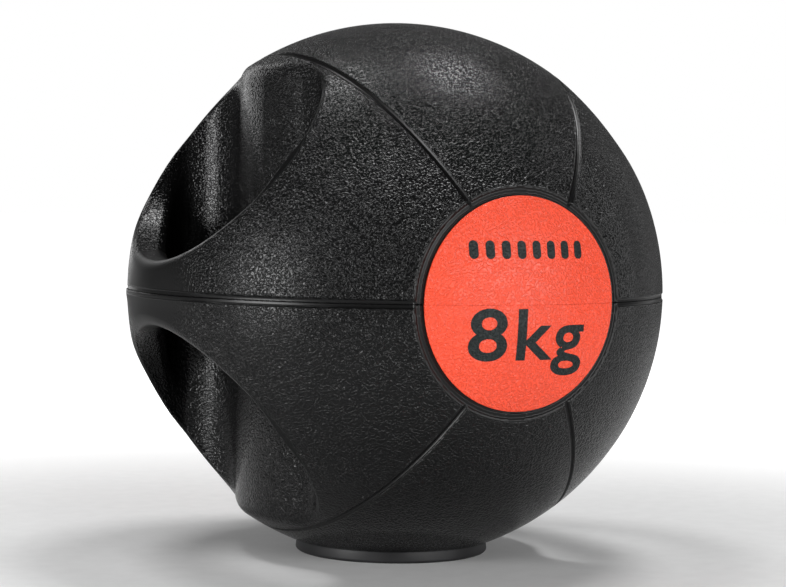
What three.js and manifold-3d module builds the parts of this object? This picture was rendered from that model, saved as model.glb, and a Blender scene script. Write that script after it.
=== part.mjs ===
// Double-grip medicine ball: a weighted rubber ball with a hand grip let into each side.
// Millimetres, +Z up. The origin is on the floor, under the middle of the ball.
// The coloured discs face -Y and +Y, and the grips are at -X and +X.

import * as THREE from "three";
import { mergeVertices } from "three/addons/utils/BufferGeometryUtils.js";
import { ParametricGeometry } from "three/addons/geometries/ParametricGeometry.js";
import Module from "manifold-3d";

const wasm = await Module();
wasm.setup();

// Driving dimensions
const BALL_RADIUS = 137.5;
const CENTRE_HEIGHT = 134; // middle of the ball above the floor, less than its radius
const WALL = 13; // rubber wall, all round the hollow
const GAP = 0.3; // clearance between pieces that touch
const HALF_GAP = GAP / 2;

// Grooves pressed into the skin: six meridians from disc to disc, and a ring round each disc
const SEAM_COUNT = 6;
const SEAM_WIDTH = 3.2;
const SEAM_DEPTH = 1.3;
const DISC_ANGLE = 21.7; // degrees from the disc's middle to its edge, seen from the ball's centre
const RING_WIDTH = 3.8;
const RING_DEPTH = 1.4;

// Hand slots, one at each side, open from top to bottom
const CORE_RADIUS = 81; // upright round wall that the fingertips reach
const END_RADIUS = 26; // rounded ends of a slot, in plan
const END_ANGLE = 27; // degrees from the X axis to the middle of a slot's rounded end
const GRIP_INNER_RADIUS = 118;
const GRIP_HALF_HEIGHT = 16; // at the middle of the grip
const FLARE_HEIGHT = 69.5; // where the widening grip has become the slot's end wall

// Pieces let into the rubber
const DISC_THICKNESS = 3;
const FOOT_RADIUS = 49.5;
const FOOT_THICKNESS = 7;
const FOOT_BEVEL = 1;
const FLOOR_TOP = -112; // top of the thick floor above the foot, from the ball's centre
const PLUG_RADIUS = 15;
const PLUG_FLANGE_RADIUS = 21;
const PLUG_FLANGE_THICKNESS = 4;
const BLADDER_WALL = 2;
const BALLAST_LEVEL = -8; // top of the settled ballast, from the ball's centre
const VALVE_TILT = 40; // degrees from straight up towards +Y
const VALVE_STEM_RADIUS = 6;
const VALVE_FLANGE_RADIUS = 11;
const VALVE_FLANGE_THICKNESS = 3;
const VALVE_FLANGE_DROP = 4; // flange to bladder, because the bladder curves away from it
const VALVE_BORE_RADIUS = 3.5;
const NEEDLE_RADIUS = 0.9;

// Facets round each kind of round shape, and steps along each kind of arc
const ROUND_FACETS = 32;
const WIDE_FACETS = 48; // foot and its seat
const DISC_FACETS = 36;
const GRIP_FACETS = 64; // round wall behind the grips
const VALVE_FACETS = 24;
const CORE_FACETS = 16;
const HOLLOW_FACETS = 24;
const SLOT_ARC_STEPS = 9;
const HOLLOW_ARC_STEPS = 5;
const FLARE_ARC_STEPS = 12;
const DISC_ARC_STEPS = 3;
const SECTOR_STEPS = 8; // skin columns from one meridian groove to the next
const SIDE_STEPS = 9; // skin rows from a disc's ring to the equator between the discs
const WELD_DISTANCE = 1e-4; // corners closer than this are one corner

// Worked out from the driving dimensions
const rad = THREE.MathUtils.degToRad;
const cavityRadius = BALL_RADIUS - WALL;
const endDistance = CORE_RADIUS + END_RADIUS;
const endX = endDistance * Math.cos(rad(END_ANGLE));
const endY = endDistance * Math.sin(rad(END_ANGLE));
const slotHalfWidth = endY + END_RADIUS;
const flareRise = FLARE_HEIGHT - GRIP_HALF_HEIGHT;
const discAngle = rad(DISC_ANGLE);
const gapAngle = GAP / BALL_RADIUS;
const ringEndAngle = discAngle + RING_WIDTH / BALL_RADIUS;
const farOut = 1.2 * BALL_RADIUS; // past the skin in every direction
const wellInside = 0.5 * BALL_RADIUS; // inside the hollow, short of its wall
const footTop = FOOT_THICKNESS - CENTRE_HEIGHT;
const footSeat = footTop + GAP;
const plugTop = FLOOR_TOP + BLADDER_WALL;

// A closed geometry as a solid for joining and cutting
function solid(geometry, matrix = new THREE.Matrix4()) {
  const bare = geometry.clone().applyMatrix4(matrix);
  for (const name of ["normal", "uv"]) bare.deleteAttribute(name);
  const merged = mergeVertices(bare, WELD_DISTANCE);
  const corners = merged.index.array;
  const kept = [];
  for (let i = 0; i < corners.length; i += 3) {
    const [a, b, c] = corners.slice(i, i + 3);
    if (a !== b && b !== c && c !== a) kept.push(a, b, c);
  }
  const mesh = new wasm.Mesh({
    numProp: 3,
    vertProperties: new Float32Array(merged.attributes.position.array),
    triVerts: new Uint32Array(kept),
  });
  const body = new wasm.Manifold(mesh);
  if (body.volume() <= 0) throw new Error(`${geometry.type}: faces point inwards`);
  return body;
}

// A finished solid as a named mesh with its own material
function piece(name, body, { color, roughness, metalness = 0 }) {
  const { numProp, vertProperties, triVerts } = body.getMesh();
  if (numProp !== 3) throw new Error(`${name}: unexpected vertex layout`);
  const geometry = new THREE.BufferGeometry();
  geometry.setAttribute("position", new THREE.BufferAttribute(vertProperties, 3));
  geometry.setIndex(new THREE.BufferAttribute(triVerts, 1));
  const flat = geometry.toNonIndexed();
  flat.computeVertexNormals();
  const material = new THREE.MeshStandardMaterial({ color, roughness, metalness });
  const mesh = new THREE.Mesh(flat, material);
  mesh.name = name;
  return mesh;
}

const quarterTurn = new THREE.Matrix4().makeRotationX(Math.PI / 2); // Y to Z, and Z to the front
const quarterTurnBack = new THREE.Matrix4().makeRotationX(-Math.PI / 2); // Z to the back
const halfTurn = new THREE.Matrix4().makeRotationZ(Math.PI);
const valveTurn = new THREE.Matrix4().makeRotationX(-rad(VALVE_TILT));

// A body of revolution about Z from [radius, z] points, closed on the axis or on itself
function turned(points, facets = ROUND_FACETS) {
  const profile = points.map(([radius, z]) => new THREE.Vector2(radius, z));
  return solid(new THREE.LatheGeometry(profile, facets), quarterTurn);
}

function cylinder(radius, bottom, top, facets = ROUND_FACETS) {
  return turned([[0, bottom], [radius, bottom], [radius, top], [0, top]], facets);
}

// Everything between two heights, as a box wider than the ball
function block(bottom, top) {
  const box = new THREE.BoxGeometry(2 * farOut, 2 * farOut, top - bottom);
  return solid(box, new THREE.Matrix4().makeTranslation(0, 0, (top + bottom) / 2));
}

// Skin: a sphere with the meridian grooves and the disc rings pressed in.
// The grid lines follow the grooves, so each groove is a clean V with a ring of flat floor.
const skinColumns = SEAM_COUNT * SECTOR_STEPS;
const ringLip = ringEndAngle - SEAM_DEPTH / 3 / BALL_RADIUS;
const capAngles = [0, discAngle / 2, discAngle - gapAngle, ringLip, ringEndAngle];
const sideAngles = Array.from(
  { length: SIDE_STEPS },
  (_, i) => ringEndAngle + ((i + 1) / SIDE_STEPS) * (Math.PI / 2 - ringEndAngle),
);
const frontAngles = [...capAngles, ...sideAngles];
const backAngles = frontAngles.slice(0, -1).reverse().map((angle) => Math.PI - angle);
const polarAngles = [...frontAngles, ...backAngles];

function skinPoint(u, v, target) {
  const column = Math.round(u * skinColumns);
  const step = column % SECTOR_STEPS;
  const sector = (2 * Math.PI) / SEAM_COUNT;
  const polar = polarAngles[Math.round(v * (polarAngles.length - 1))];
  const fromDisc = Math.min(polar, Math.PI - polar);
  const ringRadius = BALL_RADIUS * Math.sin(Math.max(fromDisc, ringEndAngle));
  const edge = SEAM_WIDTH / 2 / ringRadius;
  let turn = edge + ((step - 1) / (SECTOR_STEPS - 2)) * (sector - 2 * edge);
  if (step === 0) turn = 0;
  const around = Math.floor(column / SECTOR_STEPS) * sector + turn;
  let depth = step === 0 ? SEAM_DEPTH : 0;
  if (fromDisc <= ringLip) depth = RING_DEPTH;
  const radius = BALL_RADIUS - depth;
  const ringPoint = Math.sin(polar);
  target.set(Math.cos(around) * ringPoint, -Math.cos(polar), -Math.sin(around) * ringPoint);
  target.multiplyScalar(radius);
}

function skin() {
  return solid(new ParametricGeometry(skinPoint, skinColumns, polarAngles.length - 1));
}

// Plan outline of the slot at -X, made larger by grow on every side
function slotOutline(grow) {
  const half = slotHalfWidth + grow;
  const end = END_RADIUS + grow;
  const turn = rad(END_ANGLE);
  const outline = new THREE.Shape();
  outline.moveTo(-farOut, -half);
  outline.lineTo(-endX, -half);
  outline.absarc(-endX, -endY, end, -Math.PI / 2, turn, false);
  outline.absarc(0, 0, CORE_RADIUS - grow, Math.PI + turn, Math.PI - turn, true);
  outline.absarc(-endX, endY, end, -turn, Math.PI / 2, false);
  outline.lineTo(-farOut, half);
  return outline;
}

function slotPrism(grow, curveSegments) {
  const settings = { depth: 2 * farOut, bevelEnabled: false, curveSegments };
  const prism = new THREE.ExtrudeGeometry(slotOutline(grow), settings);
  return solid(prism, new THREE.Matrix4().makeTranslation(0, 0, -farOut));
}

// The grip at -X, seen from the side: narrow at the middle, flaring to the slot's end walls
function gripBar() {
  const outline = new THREE.Shape();
  outline.absellipse(0, FLARE_HEIGHT, slotHalfWidth, flareRise, Math.PI, 2 * Math.PI, false);
  outline.absellipse(0, -FLARE_HEIGHT, slotHalfWidth, flareRise, 0, Math.PI, false);
  const settings = { depth: farOut, bevelEnabled: false, curveSegments: FLARE_ARC_STEPS };
  const along = new THREE.Matrix4().makeBasis(
    new THREE.Vector3(0, 1, 0),
    new THREE.Vector3(0, 0, 1),
    new THREE.Vector3(1, 0, 0),
  );
  const outwards = new THREE.Matrix4().makeTranslation(-farOut, 0, 0).multiply(along);
  const bar = solid(new THREE.ExtrudeGeometry(outline, settings), outwards);
  return bar.subtract(cylinder(GRIP_INNER_RADIUS, -farOut, farOut, GRIP_FACETS));
}

// Everything inside the rubber walls, made smaller by inset on every side
function hollow(inset) {
  const radius = cavityRadius - inset;
  const sphere = solid(new THREE.SphereGeometry(radius, HOLLOW_FACETS, HOLLOW_FACETS / 2), quarterTurn);
  const around = slotPrism(WALL + inset, HOLLOW_ARC_STEPS);
  return sphere
    .subtract(around)
    .subtract(around.transform(halfTurn.elements))
    .subtract(block(-farOut, FLOOR_TOP + inset));
}

// A slab of the skin under one disc, from radius inner to radius outer
function cap(inner, outer, angle) {
  const arc = (radius) =>
    Array.from({ length: DISC_ARC_STEPS + 1 }, (_, i) => {
      const polar = (angle * i) / DISC_ARC_STEPS;
      return [radius * Math.sin(polar), radius * Math.cos(polar)];
    });
  return turned([...arc(inner), ...arc(outer).reverse()], DISC_FACETS);
}

function discBody(place) {
  return cap(BALL_RADIUS - DISC_THICKNESS, BALL_RADIUS, discAngle).transform(place.elements);
}

function discPocket(place) {
  const depth = BALL_RADIUS - DISC_THICKNESS - GAP;
  return cap(depth, farOut, discAngle + gapAngle).transform(place.elements);
}

// Valve pieces, turned about the valve's own axis
const valveFlangeTop = cavityRadius - BLADDER_WALL - VALVE_FLANGE_DROP;
const valveHoleRadius = VALVE_STEM_RADIUS + GAP;
const valveHole = cylinder(valveHoleRadius, wellInside, farOut, VALVE_FACETS).transform(valveTurn.elements);

function valveBoot() {
  const outside = BALL_RADIUS - 2 * GAP;
  const flangeBottom = valveFlangeTop - VALVE_FLANGE_THICKNESS;
  return turned([
    [VALVE_BORE_RADIUS, flangeBottom],
    [VALVE_FLANGE_RADIUS, flangeBottom],
    [VALVE_FLANGE_RADIUS, valveFlangeTop],
    [VALVE_STEM_RADIUS, valveFlangeTop],
    [VALVE_STEM_RADIUS, outside],
    [VALVE_BORE_RADIUS, outside],
    [VALVE_BORE_RADIUS, flangeBottom],
  ], VALVE_FACETS).transform(valveTurn.elements);
}

function valveCore() {
  const radius = VALVE_BORE_RADIUS - GAP;
  const bottom = valveFlangeTop - VALVE_FLANGE_THICKNESS;
  const top = BALL_RADIUS - 4 * GAP;
  return turned([
    [NEEDLE_RADIUS, bottom],
    [radius, bottom],
    [radius, top],
    [NEEDLE_RADIUS, top],
    [NEEDLE_RADIUS, bottom],
  ], CORE_FACETS).transform(valveTurn.elements);
}

// Flanged plug in the filling hole, under the foot, or the room it needs with some clearance
function fillerPlug(bottom, clearance = 0) {
  const flange = PLUG_FLANGE_RADIUS + clearance;
  const stem = PLUG_RADIUS + clearance;
  const flangeTop = footSeat + PLUG_FLANGE_THICKNESS + clearance;
  const top = plugTop + 2 * clearance;
  return turned([
    [0, bottom],
    [flange, bottom],
    [flange, flangeTop],
    [stem, flangeTop],
    [stem, top],
    [0, top],
  ]);
}

function footPad() {
  return turned([
    [0, -CENTRE_HEIGHT],
    [FOOT_RADIUS - FOOT_BEVEL, -CENTRE_HEIGHT],
    [FOOT_RADIUS, FOOT_BEVEL - CENTRE_HEIGHT],
    [FOOT_RADIUS, footTop],
    [0, footTop],
  ], WIDE_FACETS);
}

// Rubber body before it is parted into its two halves
function rubberBody() {
  const opening = slotPrism(0, SLOT_ARC_STEPS).subtract(gripBar());
  return skin()
    .subtract(opening)
    .subtract(opening.transform(halfTurn.elements))
    .subtract(hollow(0))
    .subtract(discPocket(quarterTurn))
    .subtract(discPocket(quarterTurnBack))
    .subtract(valveHole)
    .subtract(cylinder(FOOT_RADIUS + GAP, -farOut, footSeat, WIDE_FACETS))
    .subtract(fillerPlug(-farOut, GAP));
}

function bladder() {
  return hollow(GAP)
    .subtract(hollow(GAP + BLADDER_WALL))
    .subtract(valveHole)
    .subtract(cylinder(PLUG_RADIUS + GAP, -farOut, 0));
}

function ballast() {
  const plugRoom = cylinder(PLUG_RADIUS + 2 * GAP, -farOut, plugTop + 4 * GAP);
  return hollow(2 * GAP + BLADDER_WALL).subtract(plugRoom).subtract(block(BALLAST_LEVEL, farOut));
}

const blackRubber = { color: 0x1b1b1c, roughness: 0.5 };
const redRubber = { color: 0xf85e47, roughness: 0.55 };
const greyRubber = { color: 0x2a2a2b, roughness: 0.6 };
const butyl = { color: 0x2b2622, roughness: 0.7 };
const granulate = { color: 0x8d8678, roughness: 0.95 };
const nylon = { color: 0x111111, roughness: 0.4 };

const aboveJoint = block(HALF_GAP, farOut);
const belowJoint = block(-farOut, -HALF_GAP);
const rubber = rubberBody();
const frontDisc = discBody(quarterTurn);
const backDisc = discBody(quarterTurnBack);

const ball = new THREE.Group();
ball.position.z = CENTRE_HEIGHT;
ball.add(
  piece("upper_shell", rubber.intersect(aboveJoint), blackRubber),
  piece("lower_shell", rubber.intersect(belowJoint), blackRubber),
  piece("front_disc_upper", frontDisc.intersect(aboveJoint), redRubber),
  piece("front_disc_lower", frontDisc.intersect(belowJoint), redRubber),
  piece("back_disc_upper", backDisc.intersect(aboveJoint), redRubber),
  piece("back_disc_lower", backDisc.intersect(belowJoint), redRubber),
  piece("foot_pad", footPad(), greyRubber),
  piece("filler_plug", fillerPlug(footSeat + GAP), greyRubber),
  piece("bladder", bladder(), butyl),
  piece("ballast_fill", ballast(), granulate),
  piece("valve_boot", valveBoot(), greyRubber),
  piece("valve_core", valveCore(), nylon),
);

const medicineBall = new THREE.Group();
medicineBall.add(ball);

export default medicineBall;
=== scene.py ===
"""Looks of a double-grip medicine ball: pebbled black rubber, two coloured discs, a smooth foot.

Metres, +Z up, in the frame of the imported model. The front disc faces -Y and the grips are at -X and +X.
"""

import math

import bmesh
import bpy
import numpy as np
from mathutils import Matrix, Vector


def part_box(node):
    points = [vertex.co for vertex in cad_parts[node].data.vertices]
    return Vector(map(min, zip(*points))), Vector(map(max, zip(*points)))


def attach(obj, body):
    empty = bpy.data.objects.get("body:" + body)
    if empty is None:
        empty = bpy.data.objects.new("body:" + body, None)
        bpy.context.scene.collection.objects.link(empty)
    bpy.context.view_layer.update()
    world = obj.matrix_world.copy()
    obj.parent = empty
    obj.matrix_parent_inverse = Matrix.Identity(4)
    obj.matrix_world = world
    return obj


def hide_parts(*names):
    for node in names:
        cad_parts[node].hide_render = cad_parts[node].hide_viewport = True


bl_info = {
    "name": "Double-grip medicine ball",
    "version": (1, 0, 0),
    "blender": (4, 5, 0),
    "location": "3D View > Sidebar > Medicine ball",
    "description": "Builds the moulded shells, discs, marks, foot and valve of a medicine ball",
    "category": "Object",
}

MM = 0.001
BODY = "root"

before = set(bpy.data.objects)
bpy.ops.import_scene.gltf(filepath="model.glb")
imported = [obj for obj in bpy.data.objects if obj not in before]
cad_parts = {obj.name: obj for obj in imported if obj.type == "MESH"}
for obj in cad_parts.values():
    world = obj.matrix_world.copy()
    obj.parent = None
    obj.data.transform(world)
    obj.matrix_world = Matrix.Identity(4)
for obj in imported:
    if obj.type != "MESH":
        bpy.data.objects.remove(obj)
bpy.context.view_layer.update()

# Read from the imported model
BALL_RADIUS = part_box("upper_shell")[1].x
CENTRE_Z = (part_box("upper_shell")[0].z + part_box("lower_shell")[1].z) / 2
PARTING_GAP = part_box("upper_shell")[0].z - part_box("lower_shell")[1].z
FOOT_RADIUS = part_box("foot_pad")[1].x
FOOT_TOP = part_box("foot_pad")[1].z
DISC_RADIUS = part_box("front_disc_upper")[1].x
DISC_ANGLE = math.asin(DISC_RADIUS / BALL_RADIUS)
SEAM_STEP = math.pi / 3
MOULD_PARTING = 0.06 * MM
PLUG_HOLE_RADIUS = 15.3 * MM
TINY = 1e-9


# ---------------------------------------------------------------------------
# Sizes and colours a user would change


def sized(name, millimetres, description):
    return bpy.props.FloatProperty(
        name=name, description=description, default=millimetres * MM, unit="LENGTH")


def tinted(name, rgb, description):
    return bpy.props.FloatVectorProperty(
        name=name, description=description, default=rgb, subtype="COLOR")


class MEDBALL_PG_sizes(bpy.types.PropertyGroup):
    """Sizes of the moulded body"""

    core_radius: sized("Core radius", 81, "Upright round wall behind the grips")
    end_radius: sized("Slot end radius", 26, "Rounded ends of a hand slot, in plan")
    end_angle: bpy.props.FloatProperty(
        name="Slot end angle", description="From the grip's middle to the middle of a slot's end",
        default=math.radians(27), unit="ROTATION")
    grip_inner: sized("Grip inner radius", 118, "Inner face of the grip, from the ball's upright axis")
    grip_half_height: sized("Grip half height", 16, "At the middle of the grip")
    flare_height: sized("Flare height", 69.5, "Where the widening grip has become the slot's end wall")
    wall: sized("Wall", 13, "Thickness of the rubber")
    seam_width: sized("Seam width", 2.8, "Width of the pressed meridian grooves")
    seam_depth: sized("Seam depth", 1.25, "Depth of the pressed meridian grooves")
    low_seam: bpy.props.FloatProperty(
        name="Lower seams", description="Width and depth of the lower half's grooves, as a share",
        default=0.70, min=0.1, max=1)
    parting_width: sized("Parting band width", 3.8, "Width of the level band along the parting line")
    parting_depth: sized("Parting band depth", 0.55, "Depth of the level band along the parting line")
    ring_width: sized("Ring width", 4.4, "Width of the stepped ring round each disc")
    ring_depth: sized("Ring depth", 1.9, "Depth of the ring beside the disc")
    disc_thickness: sized("Disc thickness", 3, "Thickness of the coloured rubber")
    mark_height: sized("Mark height", 0.12, "How far the marks stand off the disc")
    weight_width: sized("Weight width", 62, "Width of the weight's lettering")
    digit_height: sized("Digit height", 24.4, "Height of the weight's digit")
    weight_bottom: sized("Weight bottom", -26.2, "Foot of the digit, from the disc's middle")


class MEDBALL_PG_finish(bpy.types.PropertyGroup):
    """Colours and grain"""

    rubber_colour: tinted("Rubber", (0.0036, 0.0036, 0.0037), "Black body rubber")
    disc_colour: tinted("Disc", (0.96, 0.090, 0.040), "Coloured disc rubber")
    mark_colour: tinted("Marks", (0.009, 0.014, 0.014), "Dark ink on the discs")
    foot_colour: tinted("Foot", (0.016, 0.016, 0.017), "Smooth foot rubber")
    nylon_colour: tinted("Nylon", (0.012, 0.012, 0.012), "Insert of the valve")
    bladder_colour: tinted("Bladder", (0.030, 0.026, 0.022), "Rubber of the inner bag")
    grit_colour: tinted("Grit", (0.03, 0.028, 0.026), "Rubber crumbs in the ballast")
    sand_colour: tinted("Sand", (0.40, 0.34, 0.26), "Sand in the ballast")
    grain_size: sized("Grain size", 1.12, "Width of one pebble")
    grain_depth: sized("Grain depth", 0.36, "Height of the pebbles")


class MEDBALL_PG_detail(bpy.types.PropertyGroup):
    """Fineness of the meshes"""

    cell: sized("Cell", 0.6, "Grid cell the moulded surface is drawn from")
    shell_triangles: bpy.props.IntProperty(
        name="Shell triangles", description="Triangles in one finished half shell",
        default=180000)


# ---------------------------------------------------------------------------
# The moulded form, as fields that are negative inside


def rounded_max(a, b, radius):
    """Intersection of two fields, with its convex edge rounded to a radius"""
    corner = np.hypot(np.maximum(a + radius, 0), np.maximum(b + radius, 0))
    return np.minimum(np.maximum(a, b), -radius) + corner


def smoothstep(low, high, value):
    t = np.clip((value - low) / (high - low), 0, 1)
    return t * t * (3 - 2 * t)


def bell(value, reach):
    return np.exp(-((value / reach) ** 2))


def trough(distance, half_width, squareness):
    """1 in the middle of a groove and 0 at its edges, with a flatter floor for a higher squareness"""
    return np.clip(1 - (distance / half_width) ** squareness, 0, None)


class BallForm:
    """The rubber body's shape. Points are relative to the middle of the ball."""

    # Roundings of the slot's own edges, of the grip's inner edges and of the slot's rim
    slot_round = 8 * MM
    bar_round = 3 * MM
    bar_round_middle = 4.5 * MM
    bar_round_reach = 45 * MM
    rim_round_least = 1.3 * MM
    rim_round_grip = 5.5 * MM
    rim_round_grip_reach = 24 * MM
    rim_round_top = 2.6 * MM
    rim_top_start = 90 * MM
    rim_top_end = 112 * MM
    # Where the parting band fades out towards the middle of a grip
    band_fade_start = 34 * MM
    band_fade_end = 62 * MM
    # Stepped ring: shares of its width from the disc outwards, and of its depth there
    ring_stops = (-0.01, 0, 0.30, 0.37, 0.78, 0.98)
    ring_steps = (0, 1, 1, 0.65, 0.55, 0)
    ring_floor_end = 0.3
    ring_step_end = 0.4
    # Swelling of the lower half where the mould halves met
    swell = 0.8 * MM
    swell_reach = 5 * MM
    swell_start = 0.80
    swell_end = 0.97
    floor_thickness = 15 * MM

    def __init__(self, sizes):
        self.core = sizes.core_radius
        self.end = sizes.end_radius
        self.angle = sizes.end_angle
        self.end_x = (self.core + self.end) * math.cos(self.angle)
        self.end_y = (self.core + self.end) * math.sin(self.angle)
        self.half_width = self.end_y + self.end
        self.grip_inner = sizes.grip_inner
        self.flare = sizes.flare_height
        self.rise = sizes.flare_height - sizes.grip_half_height
        self.wall = sizes.wall
        self.seam_half = sizes.seam_width / 2
        self.seam_depth = sizes.seam_depth
        self.low_seam = sizes.low_seam
        self.band_half = sizes.parting_width / 2
        self.band_depth = sizes.parting_depth
        self.ring_width = sizes.ring_width
        self.ring_depth = sizes.ring_depth
        self.pocket = sizes.disc_thickness + PARTING_GAP

    def slot_plan(self, x, y):
        """Distance into the hand slot's upright walls, seen from above"""
        core = self.core - np.hypot(x, y)
        side = y - self.half_width
        end = np.hypot(x - self.end_x, y - self.end_y) - self.end
        in_wedge = y * math.cos(self.angle) < x * math.sin(self.angle)
        beyond = np.where(x < self.end_x, end, side)
        return np.where(in_wedge, np.maximum(core, side), beyond)

    def slot_side(self, y, z):
        """Distance into the slot's outline seen from the side: an arch above the flaring grip"""
        above = z - self.flare
        k1 = np.hypot(y / self.half_width, above / self.rise)
        k2 = np.hypot(y / self.half_width**2, above / self.rise**2) + TINY
        arch = k1 * (k1 - 1) / k2
        return np.where(above < 0, arch, y - self.half_width)

    def slot(self, x, y, z):
        """The open hand slot: upright walls, less the grip bar with its rounded inner edges"""
        bar_round = self.bar_round + self.bar_round_middle * bell(y, self.bar_round_reach)
        inner = self.grip_inner - np.hypot(x, y)
        bar = rounded_max(-self.slot_side(y, z), inner, bar_round)
        return rounded_max(self.slot_plan(x, y), -bar, self.slot_round)

    def rim_round(self, z):
        """Rounding of the slot's rim: full at the grip, fine on the slanting edge, soft at the top"""
        grip = self.rim_round_grip * bell(z, self.rim_round_grip_reach)
        top = self.rim_round_top * smoothstep(self.rim_top_start, self.rim_top_end, z)
        return self.rim_round_least + grip + top

    def pressed(self, x, y, z, polar, below):
        """Depth of the pressed grooves and of the stepped ring at a point of the skin"""
        from_disc = BALL_RADIUS * (polar - DISC_ANGLE)
        around = np.arctan2(z, x)
        turns = np.round(around / SEAM_STEP)
        off_seam = np.hypot(x, z) * np.abs(np.sin(around - turns * SEAM_STEP))
        fineness = np.where(below, self.low_seam, 1.0)
        groove = fineness * self.seam_depth * trough(off_seam, fineness * self.seam_half, 2)
        fades_on_grip = smoothstep(self.band_fade_start, self.band_fade_end, y)
        band = self.band_depth * fades_on_grip * trough(off_seam, self.band_half, 6)
        floor_end = self.ring_floor_end * self.ring_width
        step_end = self.ring_step_end * self.ring_width
        seam = np.where(turns == 0, band, groove) * smoothstep(floor_end, step_end, from_disc)
        stops = np.array(self.ring_stops) * self.ring_width
        depths = np.array(self.ring_steps) * self.ring_depth
        return np.maximum(seam, np.interp(from_disc, stops, depths))

    def skin_swell(self, x, z):
        """The lower half stands a little proud of the upper one where the mould halves met"""
        at_grip = smoothstep(self.swell_start * BALL_RADIUS, self.swell_end * BALL_RADIUS, x)
        return self.swell * bell(z, self.swell_reach) * at_grip * (z < 0)

    def rubber(self, points, half, with_detail=True):
        """Signed field of one half of the rubber body"""
        x = np.abs(points[:, 0])
        y = np.abs(points[:, 1])
        z = points[:, 2]
        up = np.abs(z)
        across = np.hypot(x, y)
        radius = np.sqrt(across**2 + z**2) + TINY
        skin = radius - BALL_RADIUS
        if with_detail:
            polar = np.arccos(np.clip(y / radius, -1, 1))
            skin = skin + self.pressed(x, y, up, polar, z < 0) - self.skin_swell(x, z)
        body = rounded_max(skin, -self.slot(x, y, up), self.rim_round(up))
        floor = FOOT_TOP - CENTRE_Z + PARTING_GAP
        hollow_floor = floor + self.floor_thickness
        hollow = np.maximum(radius - (BALL_RADIUS - self.wall), self.wall - self.slot_plan(x, y))
        body = np.maximum(body, -np.maximum(hollow, hollow_floor - z))
        if with_detail:
            beside_disc = BALL_RADIUS * (polar - DISC_ANGLE)
            pocket = np.maximum(BALL_RADIUS - self.pocket - radius, beside_disc)
            body = np.maximum(body, -pocket)
        if half == "upper":
            body = np.maximum(body, MOULD_PARTING / 2 - z)
            return np.maximum(body, -VALVE.hole(points))
        body = np.maximum(body, z + MOULD_PARTING / 2)
        foot_seat = np.maximum(across - FOOT_RADIUS - PARTING_GAP, z - floor)
        plug_hole = across - PLUG_HOLE_RADIUS
        return np.maximum(body, -np.minimum(foot_seat, plug_hole))


class Valve:
    """Sizes and place of the needle valve: in the middle plane, tipped back from straight up"""

    tilt = math.radians(40)
    flange_radius = 11 * MM
    flange_thickness = 3 * MM
    stem_radius = 6 * MM
    bore_radius = 3.5 * MM
    needle_radius = 0.9 * MM

    def hole(self, points):
        """Field of the hole through the upper shell"""
        along = points[:, 1] * math.sin(self.tilt) + points[:, 2] * math.cos(self.tilt)
        off = np.sqrt(np.maximum((points**2).sum(1) - along**2, 0))
        hole = off - self.stem_radius - PARTING_GAP
        far_outside = 1.0
        return np.where(along > 0, hole, far_outside)

    def turn(self):
        """Matrix from the valve's own axis (+Z, from the ball's middle) to its place"""
        return Matrix.Translation((0, 0, CENTRE_Z)) @ Matrix.Rotation(-self.tilt, 4, "X")


VALVE = Valve()


# ---------------------------------------------------------------------------
# Drawing a surface from a field


def field_gradient(field, points, step=0.02 * MM):
    gradient = np.empty_like(points)
    for axis in range(3):
        ahead = points.copy()
        behind = points.copy()
        ahead[:, axis] += step
        behind[:, axis] -= step
        gradient[:, axis] = (field(ahead) - field(behind)) / (2 * step)
    return gradient


def settle(field, points, limit, rounds=2):
    """Moves points onto the field's surface, by at most limit in each round"""
    for _ in range(rounds):
        gradient = field_gradient(field, points)
        square = (gradient**2).sum(1) + TINY
        move = -(field(points) / square)[:, None] * gradient
        length = np.linalg.norm(move, axis=1)
        points = points + move * np.minimum(1, limit / np.maximum(length, 1e-12))[:, None]
    return points


def sample_field(field, coarse_field, low, blocks, cell, block=8):
    """Field values on a grid, worked out only in the blocks that the surface passes through"""
    centres = [low[i] + (np.arange(blocks[i]) + 0.5) * block * cell for i in range(3)]
    grid = np.stack(np.meshgrid(*centres, indexing="ij"), -1).reshape(-1, 3)
    coarse = coarse_field(grid).reshape(blocks)
    values = coarse.astype(np.float32)
    for axis in range(3):
        values = np.repeat(values, block, axis)
    values = np.pad(values, [(0, 1)] * 3, mode="edge")
    half_diagonal = 0.87 * block * cell
    deepest_detail = 2.4 * MM
    reach = half_diagonal + deepest_detail
    crossed = np.argwhere(np.abs(coarse) < reach) * block
    steps = [np.arange(block + 1)] * 3
    local = np.stack(np.meshgrid(*steps, indexing="ij"), -1).reshape(-1, 3)
    batch = 400
    for start in range(0, len(crossed), batch):
        nodes = (crossed[start : start + batch][:, None, :] + local[None]).reshape(-1, 3)
        values[tuple(nodes.T)] = field(nodes * cell + low)
    return values


def crossing_points(values, cells):
    """The mean of the points where each cell's edges cross the surface, in cells from its corner"""
    total = np.zeros((len(cells), 3))
    count = np.zeros(len(cells))
    corners = [(a, b, c) for a in (0, 1) for b in (0, 1) for c in (0, 1)]
    at = {c: values[tuple((cells + c).T)] for c in corners}
    for corner in corners:
        for axis in range(3):
            if corner[axis]:
                continue
            other = tuple(1 if i == axis else corner[i] for i in range(3))
            crosses = (at[corner] < 0) != (at[other] < 0)
            span = np.where(crosses, at[corner] - at[other], 1)
            point = np.tile(np.array(corner, float), (len(cells), 1))
            point[:, axis] = np.where(crosses, at[corner] / span, 0)
            total += point * crosses[:, None]
            count += crosses
    return total / count[:, None]


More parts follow.
